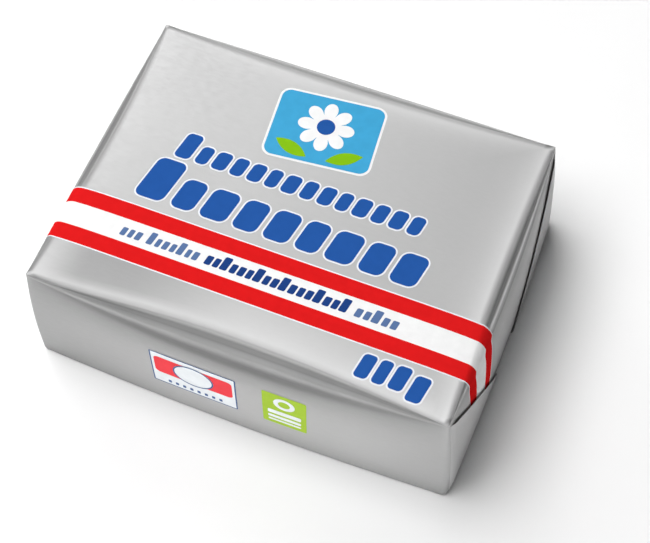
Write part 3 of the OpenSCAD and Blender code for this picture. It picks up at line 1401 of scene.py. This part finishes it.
@dataclass(frozen=True)
class Studio:
    """The pale floor, the soft lights and the camera."""

    low: Vector
    high: Vector
    azimuth: float = 23.64
    elevation: float = 61.95
    roll: float = -2.13
    distance: float = 315.8
    aim_offset: tuple[float, float, float] = (7.75, -3.23, -0.74)
    lens: float = 76.32
    floor_size: float = 6.0
    room_left: float = 1.0
    room_right: float = 0.15

    def axes(self) -> tuple[Vector, Vector, Vector]:
        """The camera's right, up and back directions."""
        a, e, r = (math.radians(v) for v in (self.azimuth, self.elevation, self.roll))
        back = Vector((math.sin(a) * math.cos(e), -math.cos(a) * math.cos(e), math.sin(e)))
        level = Vector((math.cos(a), math.sin(a), 0))
        rise = back.cross(level)
        right = level * math.cos(r) + rise * math.sin(r)
        return right, back.cross(right), back

    def camera(self) -> None:
        """Sets the camera."""
        right, up, back = self.axes()
        aim = (self.low + self.high) / 2 + Vector(self.aim_offset) * MM
        data = bpy.data.cameras.new("camera")
        data.lens, data.sensor_width, data.clip_start = self.lens, 36.0, 0.01
        camera = bpy.data.objects.new("camera", data)
        turn = Matrix((right, up, back)).transposed().to_4x4()
        camera.matrix_world = Matrix.Translation(aim + back * self.distance * MM) @ turn
        bpy.context.scene.collection.objects.link(camera)
        bpy.context.scene.camera = camera

    def floor(self) -> None:
        """Lays the floor."""
        parts = MeshParts()
        run = np.linspace(-self.floor_size / 2, self.floor_size / 2, 5) / MM
        x, y = np.meshgrid(run, run)
        parts.add_grid(np.stack([x, y, np.full_like(x, self.low.z / MM)], -1))
        floor = parts.build("floor")
        nodes = Nodes("floor_paper")
        tone = nodes.mix(nodes.noise(nodes.place(), 40.0), opaque((0.90,) * 3), opaque((0.92,) * 3))
        floor.data.materials.append(nodes.finish(Base_Color=tone, Roughness=0.8))
        floor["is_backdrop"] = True

    def lamp(
        self,
        name: str,
        place: tuple[float, float, float],
        size: float,
        power: float,
        mirrored: bool = True,
        lights_up: bool = True,
        flat: float = 1.0,
    ) -> None:
        """Hangs a soft light that looks at the block.

        Args:
            name: The light's name.
            place: Where it hangs, in metres.
            size: The length of its side, in metres.
            power: Its power, in watts.
            mirrored: True if the foil may mirror it.
            lights_up: True if it lights matt surfaces.
            flat: Its height as a share of its width.
        """
        data = bpy.data.lights.new(name, "AREA")
        data.shape = "RECTANGLE"
        data.size, data.size_y, data.energy = size, size * flat, power
        lamp = bpy.data.objects.new(name, data)
        lamp.location = place
        lamp.visible_glossy = mirrored
        lamp.visible_diffuse = lights_up
        lamp.rotation_mode = "QUATERNION"
        lamp.rotation_quaternion = Vector(place).to_track_quat("Z", "Y")
        bpy.context.scene.collection.objects.link(lamp)

    def surroundings(self) -> None:
        """Sets the pale room."""
        world = bpy.data.worlds.new("room")
        world.use_nodes = True
        tree = world.node_tree
        direction = tree.nodes.new("ShaderNodeTexCoord")
        split = tree.nodes.new("ShaderNodeSeparateXYZ")
        level = tree.nodes.new("ShaderNodeMapRange")
        level.interpolation_type = "SMOOTHSTEP"
        level.inputs["From Min"].default_value = 0.0
        level.inputs["From Max"].default_value = 0.75
        level.inputs["To Min"].default_value = self.room_left
        level.inputs["To Max"].default_value = self.room_right
        tree.links.new(direction.outputs["Generated"], split.inputs[0])
        tree.links.new(split.outputs[0], level.inputs["Value"])
        tree.links.new(level.outputs[0], tree.nodes["Background"].inputs[1])
        bpy.context.scene.world = world

    def build(self) -> None:
        """Makes the whole studio."""
        self.camera()
        self.floor()
        self.surroundings()
        self.lamp("key", (-0.28, -0.11, 0.85), 0.7, 8.7, mirrored=False, flat=0.8)
        self.lamp("sheen", (-0.45, 0.54, 0.57), 0.6, 3.0)
        self.lamp("fill", (0.30, -0.91, 0.065), 0.7, 6.0, mirrored=False, flat=0.14)
        self.lamp("sheet", (-0.05, 0.10, 1.0), 1.3, 5.0, lights_up=False)
        bpy.context.scene.view_settings.view_transform = "Standard"


# ---------------------------------------------------------------------------- main


def main() -> None:
    """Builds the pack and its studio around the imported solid."""
    logging.basicConfig(level=logging.INFO, format="%(name)s: %(message)s")
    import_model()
    low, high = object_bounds()
    rows = Rows()
    form = PackForm.inside(low, high)
    LOG.info("top %.1f x %.1f mm", form.half_length * 2, form.half_width * 2)
    Studio(low, high).build()
    foil = Foil().material()
    inks = mix_inks()
    Wrapper(form, PaintedLight(form), rows).build(foil)
    for end in (Wall.RIGHT, Wall.LEFT):
        for side in (-1, 1):
            Ear(form, end, side).build(foil)
    Underside(form).build(foil)
    Band(replace(form, crease_depth=0.0), rows).build(inks)
    TopPrint(form).build(inks)
    FrontLabels(form).build(inks)


if __name__ == "__main__":
    main()
